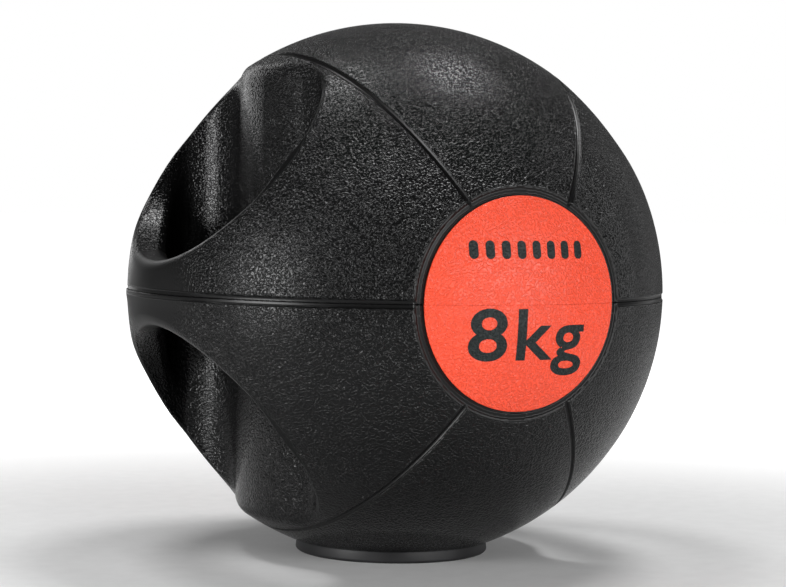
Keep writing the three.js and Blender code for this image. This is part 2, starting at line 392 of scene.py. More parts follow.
def surface_nets(values, cell, low):
    """Vertices and outward quads of the surface where the grid's values change sign"""
    inside = values < 0
    shape = values.shape
    count = np.zeros([n - 1 for n in shape], np.uint8)
    for a in (0, 1):
        for b in (0, 1):
            for c in (0, 1):
                count += inside[a : shape[0] - 1 + a, b : shape[1] - 1 + b, c : shape[2] - 1 + c]
    active = (count > 0) & (count < 8)
    cells = np.argwhere(active)
    number = np.full(active.shape, -1, np.int32)
    number[tuple(cells.T)] = np.arange(len(cells))
    vertices = (cells + crossing_points(values, cells)) * cell + low
    quads = []
    for axis in range(3):
        first = [slice(None)] * 3
        second = [slice(None)] * 3
        first[axis] = slice(0, -1)
        second[axis] = slice(1, None)
        edges = np.argwhere(inside[tuple(first)] != inside[tuple(second)])
        u, v = (axis + 1) % 3, (axis + 2) % 3
        inner = (edges[:, u] > 0) & (edges[:, v] > 0)
        inner &= (edges[:, u] < shape[u] - 1) & (edges[:, v] < shape[v] - 1)
        edges = edges[inner]
        around = []
        for du, dv in ((1, 1), (0, 1), (0, 0), (1, 0)):
            near = edges.copy()
            near[:, u] -= du
            near[:, v] -= dv
            around.append(number[tuple(near.T)])
        quad = np.stack(around, 1)
        backwards = ~inside[tuple(edges.T)]
        quad[backwards] = quad[backwards][:, ::-1]
        quads.append(quad)
    return vertices, np.concatenate(quads)


def mesh_arrays(mesh):
    mesh.calc_loop_triangles()
    points = np.empty(len(mesh.vertices) * 3)
    mesh.vertices.foreach_get("co", points)
    triangles = np.empty(len(mesh.loop_triangles) * 3, np.int32)
    mesh.loop_triangles.foreach_get("vertices", triangles)
    return points.reshape(-1, 3), triangles.reshape(-1, 3)


def mesh_from(name, points, faces):
    mesh = bpy.data.meshes.new(name)
    mesh.from_pydata(np.asarray(points).tolist(), [], np.asarray(faces).tolist())
    mesh.update()
    return mesh


def thinned(vertices, quads, target):
    """The same surface with about target triangles, fewer where it is smooth"""
    source = bpy.data.objects.new("thinning", mesh_from("thinning", vertices, quads))
    bpy.context.scene.collection.objects.link(source)
    thin = source.modifiers.new("Thin", "DECIMATE")
    thin.ratio = min(1.0, target / (2 * len(quads)))
    graph = bpy.context.evaluated_depsgraph_get()
    mesh = bpy.data.meshes.new_from_object(source.evaluated_get(graph))
    arrays = mesh_arrays(mesh)
    bpy.data.meshes.remove(mesh)
    bpy.data.objects.remove(source)
    return arrays


def open_edge_points(triangles):
    """Numbers of the vertices on the surface's open edges"""
    edges = np.sort(np.concatenate([triangles[:, [0, 1]], triangles[:, [1, 2]], triangles[:, [2, 0]]]), 1)
    unique, count = np.unique(edges, axis=0, return_counts=True)
    return np.unique(unique[count == 1])


def mirrored(points, triangles, axes):
    """The surface with its mirror images in the given axes"""
    for axis in axes:
        image = points.copy()
        image[:, axis] *= -1
        triangles = np.concatenate([triangles, triangles[:, ::-1] + len(points)])
        points = np.concatenate([points, image])
    return points, triangles


def welded(name, points, triangles):
    """A mesh whose mirror images are joined where they meet"""
    mesh = mesh_from(name, points, triangles)
    work = bmesh.new()
    work.from_mesh(mesh)
    weld = 0.002 * MM
    bmesh.ops.remove_doubles(work, verts=work.verts, dist=weld)
    bmesh.ops.dissolve_degenerate(work, edges=work.edges, dist=weld / 2)
    bmesh.ops.triangulate(work, faces=work.faces)
    work.to_mesh(mesh)
    work.free()
    return mesh


def set_field_normals(mesh, field):
    """Shades the mesh by the field's own slope, so thinned faces don't show"""
    points, _ = mesh_arrays(mesh)
    normals = field_gradient(field, points)
    normals /= np.linalg.norm(normals, axis=1)[:, None] + TINY
    mesh.shade_smooth()
    mesh.normals_split_custom_set_from_vertices(normals.tolist())


def shell_mesh(form, half, detail):
    """One half of the rubber body: drawn for a part of the ball, then mirrored"""
    cell = detail.cell
    block = 8
    span = BALL_RADIUS + 2 * MM
    past_parting = 2.3 * cell
    if half == "upper":
        mirror_axes = (0,)
        low = np.array([-cell / 2, -span, -past_parting])
        high = np.array([span, span, span])
    else:
        mirror_axes = (0, 1)
        low = np.array([-cell / 2, -cell / 2, -span])
        high = np.array([span, span, past_parting])
    blocks = [int(math.ceil((high[i] - low[i]) / (block * cell))) for i in range(3)]

    def field(points):
        return form.rubber(points, half)

    def coarse(points):
        return form.rubber(points, half, with_detail=False)

    values = sample_field(field, coarse, low, blocks, cell, block)
    vertices, quads = surface_nets(values, cell, low)
    vertices = settle(field, vertices, 0.4 * cell)
    target = detail.shell_triangles / 2 ** len(mirror_axes)
    points, triangles = thinned(vertices, quads, target)
    rim = open_edge_points(triangles)
    points = settle(field, points, 0.15 * cell)
    for axis in mirror_axes:
        near = rim[np.abs(points[rim, axis]) < cell / 2]
        points[near, axis] = 0
    mesh = welded(f"{half}_shell_moulded", *mirrored(points, triangles, mirror_axes))
    set_field_normals(mesh, field)
    mesh.transform(Matrix.Translation((0, 0, CENTRE_Z)))
    return mesh


# ---------------------------------------------------------------------------
# Pieces


def add_piece(name, mesh, material, slot, replaces=()):
    """A finished mesh as an object that rides on the ball's body"""
    piece = bpy.data.objects.new(name, mesh)
    bpy.context.scene.collection.objects.link(piece)
    mesh.materials.clear()
    mesh.materials.append(material)
    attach(piece, BODY)
    if replaces:
        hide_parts(*replaces)
    return piece


def lathe_mesh(name, profile, segments=96):
    """A closed body turned about Z from [radius, z] points, round any point on the axis"""
    work = bmesh.new()
    rings = []
    for radius, z in profile:
        if radius < 1e-7:
            rings.append([work.verts.new((0, 0, z))])
            continue
        angles = [2 * math.pi * i / segments for i in range(segments)]
        rings.append([work.verts.new((radius * math.cos(a), radius * math.sin(a), z)) for a in angles])
    closed = profile[0] == profile[-1]
    if closed:
        rings[-1] = rings[0]
    for lower, upper in zip(rings, rings[1:]):
        for i in range(segments):
            j = (i + 1) % segments
            below = [lower[i % len(lower)], lower[j % len(lower)]]
            above = [upper[j % len(upper)], upper[i % len(upper)]]
            distinct = list(dict.fromkeys([*below, *above]))
            if len(distinct) > 2:
                work.faces.new(distinct)
    loose = [v for v in work.verts if not v.link_faces]
    bmesh.ops.delete(work, geom=loose, context="VERTS")
    bmesh.ops.recalc_face_normals(work, faces=work.faces)
    mesh = bpy.data.meshes.new(name)
    work.to_mesh(mesh)
    work.free()
    mesh.shade_smooth()
    mesh.set_sharp_from_angle(angle=math.radians(50))
    return mesh


def arc_points(centre, radius, start, end, steps=6):
    """Points on an arc of a profile, from one angle to another in degrees"""
    points = []
    for i in range(steps + 1):
        angle = math.radians(start + (end - start) * i / steps)
        points.append((centre[0] + radius * math.cos(angle), centre[1] + radius * math.sin(angle)))
    return points


def foot_mesh():
    """The smooth foot: flat underneath, a rounded edge and a slightly tapering side"""
    edge = 1.6 * MM
    top_edge = 0.8 * MM
    taper = 0.5 * MM
    bottom = arc_points((FOOT_RADIUS - edge, edge), edge, -90, 0)
    top = arc_points((FOOT_RADIUS - taper - top_edge, FOOT_TOP - top_edge), top_edge, 0, 90)
    return lathe_mesh("foot_pad_moulded", [(0, 0), *bottom, *top, (0, FOOT_TOP)], 160)


def valve_boot_mesh():
    """Rubber boot: a flange inside the bladder, a stem through the wall, a rounded lip outside"""
    low = valve_bottom("valve_boot")
    lip = 0.9 * MM
    outside = BALL_RADIUS - 0.5 * MM
    flange = VALVE.flange_radius
    flange_top = low + VALVE.flange_thickness
    bore = VALVE.bore_radius
    stem = VALVE.stem_radius
    return lathe_mesh("valve_boot_moulded", [
        (bore, low), (flange, low), (flange, flange_top), (stem, flange_top),
        *arc_points((stem - lip, outside - lip), lip, 0, 90),
        *arc_points((bore + lip, outside - lip), lip, 90, 180),
        (bore, low),
    ], 64)


def valve_core_mesh():
    """Nylon insert with a dished face and a needle hole"""
    low = valve_bottom("valve_core")
    radius = VALVE.bore_radius - PARTING_GAP
    top = BALL_RADIUS - 1.3 * MM
    hole = VALVE.needle_radius
    edge = 0.4 * MM
    dish_edge = radius - 1.1 * MM
    funnel_edge = hole + 0.7 * MM
    dish_depth = 0.7 * MM
    funnel_depth = 1.2 * MM
    return lathe_mesh("valve_core_moulded", [
        (hole, low), (radius, low),
        *arc_points((radius - edge, top - edge), edge, 0, 90, 4),
        (dish_edge, top), (funnel_edge, top - dish_depth), (hole, top - funnel_depth),
        (hole, low),
    ], 48)


def valve_bottom(node):
    """Inner end of a valve node along the valve's own axis, from the ball's middle"""
    back = VALVE.turn().inverted()
    return min((back @ v.co).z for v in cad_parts[node].data.vertices)


def wrapped_slab(name, outline_mesh, facing, height, step=2.5 * MM):
    """A flat outline in X and Z, cut into small faces, laid on the ball and given a thickness"""
    work = bmesh.new()
    work.from_mesh(outline_mesh)
    for axis in (0, 2):
        spread = [v.co[axis] for v in work.verts]
        count = int((max(spread) - min(spread)) / step)
        normal = Vector((1, 0, 0)) if axis == 0 else Vector((0, 0, 1))
        for i in range(1, count + 1):
            at = normal * (min(spread) + i * step)
            geometry = [*work.verts, *work.edges, *work.faces]
            bmesh.ops.bisect_plane(work, geom=geometry, plane_co=at, plane_no=normal, dist=1e-7)
    bmesh.ops.triangulate(work, faces=work.faces)
    reach = BALL_RADIUS + height
    for v in work.verts:
        v.co.y = -math.sqrt(max(reach**2 - v.co.x**2 - v.co.z**2, 0))
    bmesh.ops.recalc_face_normals(work, faces=work.faces)
    top = list(work.faces)
    if sum(face.normal.y * face.calc_area() for face in top) > 0:
        bmesh.ops.reverse_faces(work, faces=top)
    sunk = bmesh.ops.duplicate(work, geom=[*work.verts, *work.edges, *work.faces])
    pairs = sunk["vert_map"]
    copies = [g for g in sunk["geom"] if isinstance(g, bmesh.types.BMFace)]
    sink = 0.3 * MM
    shrink = (BALL_RADIUS - sink) / reach
    rim = [edge for face in top for edge in face.edges if len(edge.link_faces) == 1]
    for edge in rim:
        loop = edge.link_loops[0]
        a, b = loop.vert, loop.link_loop_next.vert
        work.faces.new((b, a, pairs[a], pairs[b]))
    bmesh.ops.reverse_faces(work, faces=copies)
    for g in sunk["geom"]:
        if isinstance(g, bmesh.types.BMVert):
            g.co *= shrink
    mesh = bpy.data.meshes.new(name)
    work.to_mesh(mesh)
    work.free()
    mesh.shade_smooth()
    mesh.set_sharp_from_angle(angle=math.radians(40))
    turn = Matrix.Identity(4) if facing < 0 else Matrix.Rotation(math.pi, 4, "Z")
    mesh.transform(Matrix.Translation((0, 0, CENTRE_Z)) @ turn)
    return mesh


def weight_outline(text, full_width, digit_height, bottom):
    """The weight in plain built-in lettering, flat in X and Z, centred left to right"""
    curve = bpy.data.curves.new("weight_text", "FONT")
    curve.body = text
    curve.align_x = "CENTER"
    digit_share = 0.72
    curve.size = digit_height / digit_share
    curve.offset = 0.02 * digit_height
    curve.space_character = 1.12
    curve.resolution_u = 12
    source = bpy.data.objects.new("weight_text", curve)
    bpy.context.scene.collection.objects.link(source)
    graph = bpy.context.evaluated_depsgraph_get()
    mesh = bpy.data.meshes.new_from_object(source.evaluated_get(graph))
    bpy.data.objects.remove(source)
    bpy.data.curves.remove(curve)
    mesh.transform(Matrix.Rotation(math.pi / 2, 4, "X"))
    width = max(v.co.x for v in mesh.vertices) - min(v.co.x for v in mesh.vertices)
    mesh.transform(Matrix.Diagonal((full_width / width, 1, 1, 1)))
    right_of_digit = -0.2 * digit_height
    low = min(v.co.z for v in mesh.vertices if v.co.x < right_of_digit)
    mesh.transform(Matrix.Translation((0, 0, bottom - low)))
    return mesh


# ---------------------------------------------------------------------------
# Geometry Nodes


class TreeBuilder:
    """Short calls for putting nodes and links into a node tree"""

    def __init__(self, tree):
        self.tree = tree

    def node(self, kind, inputs=None, **settings):
        node = self.tree.nodes.new(kind)
        for key, value in settings.items():
            setattr(node, key, value)
        for key, value in (inputs or {}).items():
            self.feed(node.inputs[key], value)
        return node

    def feed(self, socket, value):
        if isinstance(value, bpy.types.NodeSocket):
            self.tree.links.new(value, socket)
        else:
            socket.default_value = value

    def math(self, operation, *values):
        node = self.tree.nodes.new("ShaderNodeMath")
        node.operation = operation
        for socket, value in zip(node.inputs, values):
            self.feed(socket, value)
        return node.outputs[0]

    def add(self, a, b):
        return self.math("ADD", a, b)

    def sub(self, a, b):
        return self.math("SUBTRACT", a, b)

    def mul(self, a, b):
        return self.math("MULTIPLY", a, b)

    def div(self, a, b):
        return self.math("DIVIDE", a, b)

    def length(self, a, b):
        return self.math("SQRT", self.add(self.mul(a, a), self.mul(b, b)))

    def pick(self, condition, yes, no):
        """yes where condition is 1, no where it is 0"""
        return self.add(self.mul(condition, yes), self.mul(self.sub(1.0, condition), no))

    def smooth(self, value, low, high, start=0.0, end=1.0):
        node = self.node("ShaderNodeMapRange", interpolation_type="SMOOTHSTEP")
        for index, item in enumerate((value, low, high, start, end)):
            self.feed(node.inputs[index], item)
        return node.outputs[0]


def new_tree(name, kind, inputs, outputs):
    """A node tree with named inputs and outputs, its builder and its end nodes"""
    tree = bpy.data.node_groups.new(name, kind)
    for label, socket, default in inputs:
        item = tree.interface.new_socket(name=label, in_out="INPUT", socket_type=socket)
        if default is not None:
            item.default_value = default
    for label, socket in outputs:
        tree.interface.new_socket(name=label, in_out="OUTPUT", socket_type=socket)
    build = TreeBuilder(tree)
    start = tree.nodes.new("NodeGroupInput").outputs
    end = tree.nodes.new("NodeGroupOutput").inputs
    return tree, build, start, end


def run_tree(name, tree, settings):
    """The plain mesh that a Geometry Nodes tree makes with these settings"""
    holder = bpy.data.objects.new(name, bpy.data.meshes.new(name))
    bpy.context.scene.collection.objects.link(holder)
    modifier = holder.modifiers.new(name, "NODES")
    modifier.node_group = tree
    for item in tree.interface.items_tree:
        if item.in_out == "INPUT" and item.name in settings:
            modifier[item.identifier] = settings[item.name]
    graph = bpy.context.evaluated_depsgraph_get()
    mesh = bpy.data.meshes.new_from_object(holder.evaluated_get(graph))
    holder.modifiers.remove(modifier)
    bpy.data.objects.remove(holder)
    if not mesh.polygons:
        raise RuntimeError(f"{name}: the node tree made no faces")
    mesh.name = name
    return mesh


def half_disc_place(build, start, across, outward):
    """Where a grid point lies on the half disc's outer face.

    Columns stand on the cut and end on the arc. Lines crowd towards both, where the surface bends.
    """
    radius = start["Ball Radius"]
    reach = build.mul(radius, build.math("SINE", start["Disc Angle"]))
    turn = build.mul(across, math.pi)
    side = build.mul(reach, build.math("COSINE", turn))
    half_gap = build.mul(start["Parting Gap"], 0.5)
    column = build.math("MAXIMUM", build.sub(build.mul(reach, build.math("SINE", turn)), half_gap), 0.0)
    wave = build.math("SINE", build.mul(outward, 2 * math.pi))
    crowding = 0.97 / (2 * math.pi)
    climbed = build.sub(outward, build.mul(wave, crowding))
    height = build.add(half_gap, build.mul(column, climbed))
    off_axis = build.math("MINIMUM", build.length(side, height), reach)
    polar = build.math("ARCSINE", build.div(off_axis, radius))
    rim = build.mul(radius, build.sub(start["Disc Angle"], polar))
    drop = rounded_drop(build, start, rim, build.sub(height, half_gap))
    shrink = build.div(build.sub(radius, drop), radius)
    depth = build.mul(radius, build.math("COSINE", polar))
    facing = start["Facing"]
    direction = build.sub(build.mul(start["Upper"], 2.0), 1.0)
    x = build.mul(build.mul(side, shrink), build.mul(facing, -1.0))
    y = build.mul(build.mul(depth, shrink), facing)
    z = build.mul(build.mul(height, shrink), direction)
    return build.node("ShaderNodeCombineXYZ", {0: x, 1: y, 2: z}).outputs[0]


def rounded_drop(build, start, rim, cut):
    """How far the face falls away at its rounded rim and at its rounded cut"""
    drop = 0.0
    for distance, edge in ((rim, start["Edge Round"]), (cut, start["Cut Round"])):
        inside = build.math("MAXIMUM", build.sub(edge, distance), 0.0)
        level = build.sub(build.mul(edge, edge), build.mul(inside, inside))
        drop = build.add(drop, build.sub(edge, build.math("SQRT", level)))
    return build.math("MINIMUM", drop, start["Edge Round"])


def thickened(build, start, face):
    """A closed slab from its outer face, as deep as the disc is thick"""
    here = build.node("GeometryNodeInputPosition").outputs[0]
    inward = build.node("ShaderNodeVectorMath", {0: here}, operation="NORMALIZE").outputs[0]
    depth_down = build.mul(start["Thickness"], -1.0)
    offset = build.node("ShaderNodeVectorMath", {0: inward, "Scale": depth_down}, operation="SCALE")
    sunk = build.node("GeometryNodeExtrudeMesh", {
        "Mesh": face, "Offset": offset.outputs[0], "Offset Scale": 1.0, "Individual": False,
    })
    under = build.node("GeometryNodeFlipFaces", {"Mesh": sunk.outputs["Mesh"]})
    joined = build.node("GeometryNodeJoinGeometry")
    build.feed(joined.inputs[0], face)
    build.feed(joined.inputs[0], under.outputs["Mesh"])
    return build.node("GeometryNodeMergeByDistance", {
        "Geometry": joined.outputs[0], "Distance": 0.004 * MM,
    }).outputs[0]


def finished(build, start, end, geometry):
    """Makes real geometry of a tree's result and gives it its material"""
    realized = build.node("GeometryNodeRealizeInstances", {"Geometry": geometry})
    painted = build.node("GeometryNodeSetMaterial", {"Geometry": realized.outputs[0]})
    build.feed(painted.inputs["Material"], start["Material"])
    build.feed(end["Geometry"], painted.outputs[0])


def half_disc_tree():
    """Half of a coloured disc: a pressed cap of the sphere, cut along the parting line"""
    number = "NodeSocketFloat"
    tree, build, start, end = new_tree(
        "Pressed half disc", "GeometryNodeTree",
        [
            ("Ball Radius", number, BALL_RADIUS), ("Disc Angle", number, DISC_ANGLE),
            ("Thickness", number, 3 * MM), ("Edge Round", number, 0.6 * MM),
            ("Cut Round", number, 0.12 * MM), ("Parting Gap", number, MOULD_PARTING),
            ("Centre Height", number, CENTRE_Z), ("Upper", number, 1.0), ("Facing", number, -1.0),
            ("Columns", "NodeSocketInt", 96), ("Rows", "NodeSocketInt", 48),
            ("Material", "NodeSocketMaterial", None),
        ],
        [("Geometry", "NodeSocketGeometry")],
    )
    grid = build.node("GeometryNodeMeshGrid", {"Size X": 1.0, "Size Y": 1.0})
    build.feed(grid.inputs["Vertices X"], start["Columns"])
    build.feed(grid.inputs["Vertices Y"], start["Rows"])
    here = build.node("GeometryNodeInputPosition").outputs[0]
    place = build.node("ShaderNodeSeparateXYZ", {0: here}).outputs
    position = half_disc_place(build, start, build.add(place[0], 0.5), build.add(place[1], 0.5))
    shaped = build.node("GeometryNodeSetPosition", {"Geometry": grid.outputs["Mesh"], "Position": position})
    slab = thickened(build, start, shaped.outputs["Geometry"])
    lift = build.node("ShaderNodeCombineXYZ", {2: start["Centre Height"]}).outputs[0]
    raised = build.node("GeometryNodeTransform", {"Geometry": slab, "Translation": lift})
    finished(build, start, end, raised.outputs[0])
    return tree


def cleaned(mesh):
    """Drops slivers, faces everything outwards and keeps the edges sharp"""
    work = bmesh.new()
    work.from_mesh(mesh)
    bmesh.ops.dissolve_degenerate(work, edges=work.edges, dist=0.002 * MM)
    bmesh.ops.recalc_face_normals(work, faces=work.faces)
    work.to_mesh(mesh)
    work.free()
    mesh.shade_smooth()
    mesh.set_sharp_from_angle(angle=math.radians(45))


def pip_row_tree():
    """A level row of round-ended bars, one for each kilogram, flat in X and Z"""
    number = "NodeSocketFloat"
    tree, build, start, end = new_tree(
        "Load pip row", "GeometryNodeTree",
        [
            ("Count", "NodeSocketInt", 8), ("Spacing", number, 8 * MM),
            ("Pip Width", number, 4.4 * MM), ("Pip Height", number, 8.5 * MM),
            ("Corner", number, 2.1 * MM), ("Level", number, 25.5 * MM),
            ("Material", "NodeSocketMaterial", None),
        ],
        [("Geometry", "NodeSocketGeometry")],
    )
    bar = build.node("GeometryNodeCurvePrimitiveQuadrilateral")
    build.feed(bar.inputs["Width"], start["Pip Width"])
    build.feed(bar.inputs["Height"], start["Pip Height"])
    soft = build.node("GeometryNodeFilletCurve", {"Curve": bar.outputs[0], "Radius": start["Corner"]})
    if "Mode" in soft.inputs:
        soft.inputs["Mode"].default_value = "Poly"
    else:
        soft.mode = "POLY"
    corner_steps = 8
    soft.inputs["Count"].default_value = corner_steps
    filled = build.node("GeometryNodeFillCurve", {"Curve": soft.outputs[0]})
    upright = build.node("GeometryNodeTransform", {
        "Geometry": filled.outputs[0], "Rotation": (math.pi / 2, 0.0, 0.0),
    })
    step = build.node("ShaderNodeCombineXYZ", {0: start["Spacing"]}).outputs[0]
    half = build.mul(build.mul(build.sub(start["Count"], 1.0), start["Spacing"]), -0.5)
    first = build.node("ShaderNodeCombineXYZ", {0: half, 2: start["Level"]}).outputs[0]
    line = build.node("GeometryNodeMeshLine", {
        "Count": start["Count"], "Start Location": first, "Offset": step,
    })
    row = build.node("GeometryNodeInstanceOnPoints", {
        "Points": line.outputs[0], "Instance": upright.outputs[0],
    })
    finished(build, start, end, row.outputs[0])
    return tree


# ---------------------------------------------------------------------------
# Materials


def material_with(name, **constants):
    """A material with a Principled shader, its builder and its shader node"""
    material = bpy.data.materials.new(name)
    material.use_nodes = True
    material.node_tree.nodes.clear()
    build = TreeBuilder(material.node_tree)
    shader = build.node("ShaderNodeBsdfPrincipled")
    for key, value in constants.items():
        shader.inputs[key.replace("_", " ")].default_value = value
    output = build.node("ShaderNodeOutputMaterial")
    build.feed(output.inputs["Surface"], shader.outputs[0])
    return material, build, shader


def group_node(build, tree, **inputs):
    node = build.node("ShaderNodeGroup", node_tree=tree)
    for key, value in inputs.items():
        build.feed(node.inputs[key.replace("_", " ")], value)
    return node


def object_place(build):
    return build.node("ShaderNodeTexCoord").outputs["Object"]


def shared_group(label):
    """Makes a function build its node group once, and hand the same one out afterwards"""
    def wrapped(make):
        def get(*settings):
            return bpy.data.node_groups.get(label) or make(label, *settings)
        return get
    return wrapped


@shared_group("Pebble grain")
def pebble_grain(name):
    """Leather-like pebbles and short worms, with finer dimples on them"""
    tree, build, start, end = new_tree(
        name, "ShaderNodeTree",
        [("Vector", "NodeSocketVector", None), ("Size", "NodeSocketFloat", 1.5 * MM)],
        [("Height", "NodeSocketFloat"), ("Tops", "NodeSocketFloat")],
    )
    scale = build.div(1.0, start["Size"])
    worms = build.node("ShaderNodeTexNoise", {
        "Vector": start["Vector"], "Scale": scale, "Detail": 0.6, "Roughness": 0.35, "Distortion": 0.5,
    }).outputs[0]
    tops = build.smooth(worms, 0.34, 0.66)
    fine_scale = build.mul(scale, 2.3)
    fine = build.node("ShaderNodeTexNoise", {
        "Vector": start["Vector"], "Scale": fine_scale, "Detail": 1.0, "Roughness": 0.5,
    }).outputs[0]
    height = build.add(tops, build.mul(fine, 0.3))
    build.feed(end["Height"], height)
    build.feed(end["Tops"], tops)
    return tree


@shared_group("Hand slot edge")
def slot_edge(name, form):
    """Distance from the rim of the nearest hand slot"""
    tree, build, start, end = new_tree(
        name, "ShaderNodeTree",
        [("Vector", "NodeSocketVector", None), ("Centre Height", "NodeSocketFloat", CENTRE_Z)],
        [("Distance", "NodeSocketFloat")],
    )
    place = build.node("ShaderNodeSeparateXYZ", {0: start["Vector"]}).outputs
    x = build.math("ABSOLUTE", place[0])
    y = build.math("ABSOLUTE", place[1])
    z = build.math("ABSOLUTE", build.sub(place[2], start["Centre Height"]))
    across = build.length(x, y)
    radius = build.length(across, z)
    side = build.sub(y, form.half_width)
    wedge = build.math("MAXIMUM", build.sub(form.core, across), side)
    end_wall = build.sub(build.length(build.sub(x, form.end_x), build.sub(y, form.end_y)), form.end)
    beside_axis = build.mul(y, math.cos(form.angle))
    in_wedge = build.math("LESS_THAN", beside_axis, build.mul(x, math.sin(form.angle)))
    behind_end = build.math("LESS_THAN", x, form.end_x)
    plan = build.pick(in_wedge, wedge, build.pick(behind_end, end_wall, side))
    above = build.sub(z, form.flare)
    k1 = build.length(build.div(y, form.half_width), build.div(above, form.rise))
    wide = build.mul(build.div(y, form.half_width**2), MM)
    tall = build.mul(build.div(above, form.rise**2), MM)
    k2 = build.add(build.length(wide, tall), TINY)
    arch = build.mul(build.div(build.mul(k1, build.sub(k1, 1.0)), k2), MM)
    low_part = build.math("LESS_THAN", above, 0.0)
    opening = build.pick(low_part, arch, side)
    bar = build.math("MAXIMUM", build.mul(opening, -1.0), build.sub(form.grip_inner, across))
    slot = build.math("MAXIMUM", plan, build.mul(bar, -1.0))
    under_skin = build.sub(BALL_RADIUS, radius)
    build.feed(end["Distance"], build.length(slot, under_skin))
    return tree


@shared_group("Groove distance")
def groove_distance(name):
    """Distance beyond the edge of the nearest groove, and from the edge of the nearest disc"""
    tree, build, start, end = new_tree(
        name, "ShaderNodeTree",
        [
            ("Vector", "NodeSocketVector", None), ("Centre Height", "NodeSocketFloat", CENTRE_Z),
            ("Seam Width", "NodeSocketFloat", 2.8 * MM), ("Parting Width", "NodeSocketFloat", 3.8 * MM),
        ],
        [("Seam", "NodeSocketFloat"), ("Ring", "NodeSocketFloat")],
    )
    place = build.node("ShaderNodeSeparateXYZ", {0: start["Vector"]}).outputs
    x = place[0]
    y = build.math("ABSOLUTE", place[1])
    z = build.sub(place[2], start["Centre Height"])
    around = build.math("ARCTAN2", z, x)
    turns = build.math("ROUND", build.div(around, SEAM_STEP))
    nearest = build.sub(around, build.mul(turns, SEAM_STEP))
    axis_distance = build.length(x, z)
    off_middle = build.mul(axis_distance, build.math("ABSOLUTE", build.math("SINE", nearest)))
    level = build.math("ABSOLUTE", build.math("SINE", build.mul(turns, SEAM_STEP)))
    at_parting = build.math("LESS_THAN", level, 0.5)
    width = build.pick(at_parting, start["Parting Width"], start["Seam Width"])
    seam = build.sub(off_middle, build.mul(width, 0.5))
    polar = build.math("ARCTAN2", axis_distance, y)
    ring = build.mul(build.sub(polar, DISC_ANGLE), BALL_RADIUS)
    build.feed(end["Seam"], seam)
    build.feed(end["Ring"], ring)
    return tree


@shared_group("Grip face")
def grip_face(name):
    """0 on the worn-smooth middle of each grip's outer face, 1 away from it"""
    tree, build, start, end = new_tree(
        name, "ShaderNodeTree",
        [("Vector", "NodeSocketVector", None), ("Centre Height", "NodeSocketFloat", CENTRE_Z)],
        [("Mask", "NodeSocketFloat")],
    )
    place = build.node("ShaderNodeSeparateXYZ", {0: start["Vector"]}).outputs
    z = build.sub(place[2], start["Centre Height"])
    spread = build.length(build.div(place[1], 66 * MM), build.div(z, 40 * MM))
    inside = build.smooth(build.length(place[0], place[1]), 118 * MM, 112 * MM)
    build.feed(end["Mask"], build.math("MAXIMUM", build.smooth(spread, 0.35, 1.0), inside))
    return tree


@shared_group("Pressed lips")
def pressed_lips(name):
    """Fine raised lips left by the mould beside the grooves and round the disc rings"""
    number = "NodeSocketFloat"
    tree, build, start, end = new_tree(
        name, "ShaderNodeTree",
        [
            ("Seam", number, 1.0), ("Ring", number, 1.0),
            ("Ring Edge", number, 4.4 * MM),
            ("Half Width", number, 0.4 * MM),
        ],
        [("Height", number)],
    )
    beyond = build.smooth(start["Ring"], start["Ring Edge"], build.add(start["Ring Edge"], 1 * MM))
    lips = []
    for distance, edge in ((start["Seam"], 0.0), (start["Ring"], start["Ring Edge"])):
        middle = build.add(edge, start["Half Width"])
        off_lip = build.math("ABSOLUTE", build.sub(distance, middle))
        lips.append(build.smooth(off_lip, start["Half Width"], 0.0))
    build.feed(end["Height"], build.math("MAXIMUM", build.mul(lips[0], beyond), lips[1]))
    return tree


@shared_group("Parting crease")
def parting_crease(name):
    """1 along the fine crease at one edge of the parting band, away from the grips and discs"""
    tree, build, start, end = new_tree(
        name, "ShaderNodeTree",
        [
            ("Vector", "NodeSocketVector", None), ("Centre Height", "NodeSocketFloat", CENTRE_Z),
            ("Offset", "NodeSocketFloat", -1.9 * MM), ("Half Width", "NodeSocketFloat", 0.45 * MM),
        ],
        [("Mask", "NodeSocketFloat")],
    )
    place = build.node("ShaderNodeSeparateXYZ", {0: start["Vector"]}).outputs
    level = build.add(start["Centre Height"], start["Offset"])
    off_line = build.math("ABSOLUTE", build.sub(place[2], level))
    line = build.smooth(off_line, start["Half Width"], 0.0)
    along = build.math("ABSOLUTE", place[1])
    clear = build.mul(build.smooth(along, 50 * MM, 64 * MM), build.smooth(along, 112 * MM, 98 * MM))
    on_skin = build.smooth(build.length(place[0], place[1]), 120 * MM, 130 * MM)
    build.feed(end["Mask"], build.mul(line, build.mul(clear, on_skin)))
    return tree


@shared_group("Soft cloud")
def soft_cloud(name):
    """Broad uneven patches, for handling marks and slight changes of tone"""
    tree, build, start, end = new_tree(
        name, "ShaderNodeTree",
        [("Vector", "NodeSocketVector", None), ("Size", "NodeSocketFloat", 60 * MM)],
        [("Mask", "NodeSocketFloat")],
    )
    scale = build.div(1.0, start["Size"])
    cloud = build.node("ShaderNodeTexNoise", {
        "Vector": start["Vector"], "Scale": scale, "Detail": 4.0, "Roughness": 0.55,
    }).outputs[0]
    build.feed(end["Mask"], build.smooth(cloud, 0.3, 0.7))
    return tree


